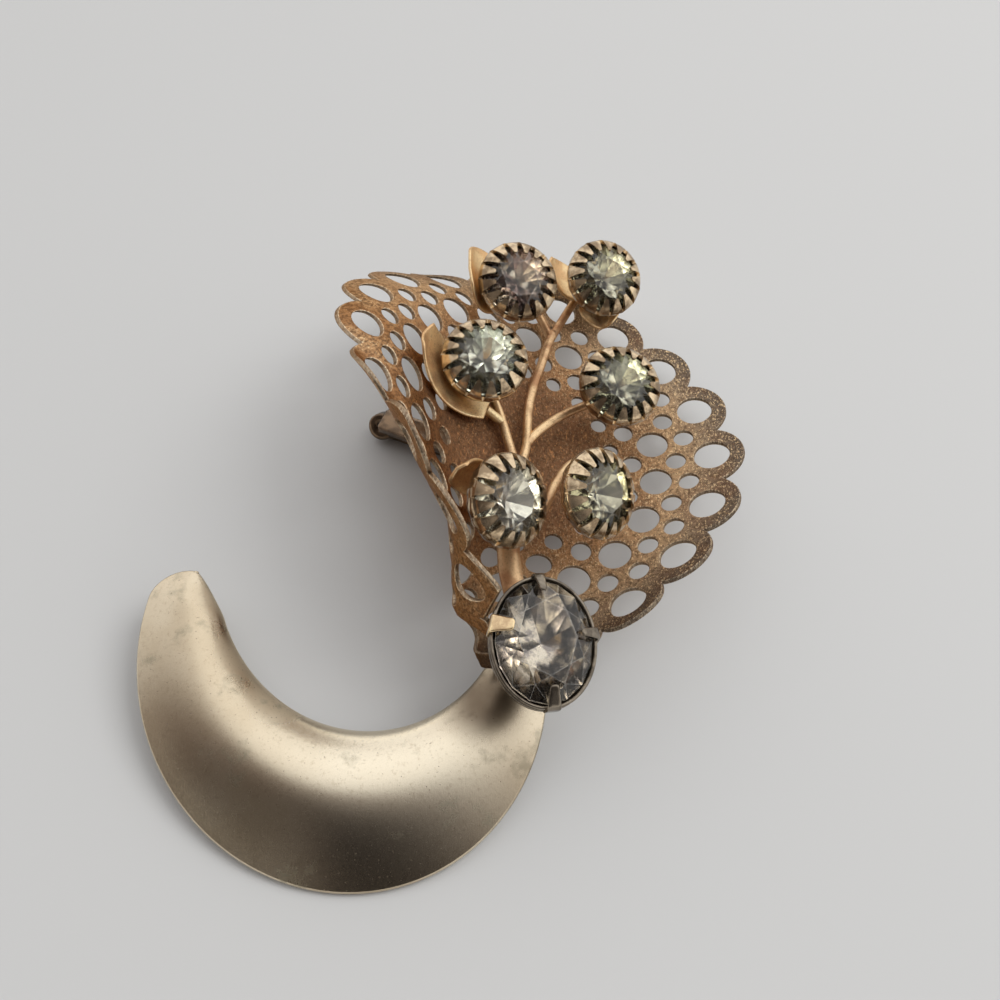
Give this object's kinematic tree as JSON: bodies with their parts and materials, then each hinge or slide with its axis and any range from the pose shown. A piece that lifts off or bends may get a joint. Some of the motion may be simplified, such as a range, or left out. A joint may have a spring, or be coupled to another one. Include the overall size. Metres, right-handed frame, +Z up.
{
  "type": "flower brooch",
  "caption": "Brooch in gold-coloured metal: a pierced lace sheet rolled into a trough holds a spray of round stones, over a plain domed crescent, with an oval stone at the foot.",
  "frame": {"origin": "middle of the brooch's box, on the surface that it lies on", "axes": "+Z up from the surface, +Y from the crescent towards the flower's rim, +X to the right seen from above"},
  "size_m": [0.0518, 0.059, 0.0218],
  "materials": {
    "satin_gold": "satin, lightly tarnished",
    "copper_gold": "grainy stamped, tarnished at the rim",
    "wire_gold": "drawn, bright on the ridges",
    "pale_gold": "polished",
    "pin_gold": "satin",
    "clear_glass": "faceted, foiled behind",
    "smoky_glass": "faceted, foiled behind, smoky"
  },
  "bodies": {
    "root": {"crescent": "satin_gold", "lace": "copper_gold", "spray": "wire_gold", "setting_1": "pale_gold", "setting_2": "pale_gold", "setting_3": "pale_gold", "setting_4": "pale_gold", "setting_5": "pale_gold", "setting_6": "pale_gold", "stone_1": "clear_glass", "stone_2": "clear_glass", "stone_3": "clear_glass", "stone_4": "clear_glass", "stone_5": "clear_glass", "stone_6": "clear_glass", "oval_setting": "pale_gold", "oval_stone": "smoky_glass", "pin_fitting": "pin_gold"}
  },
  "joints": []
}
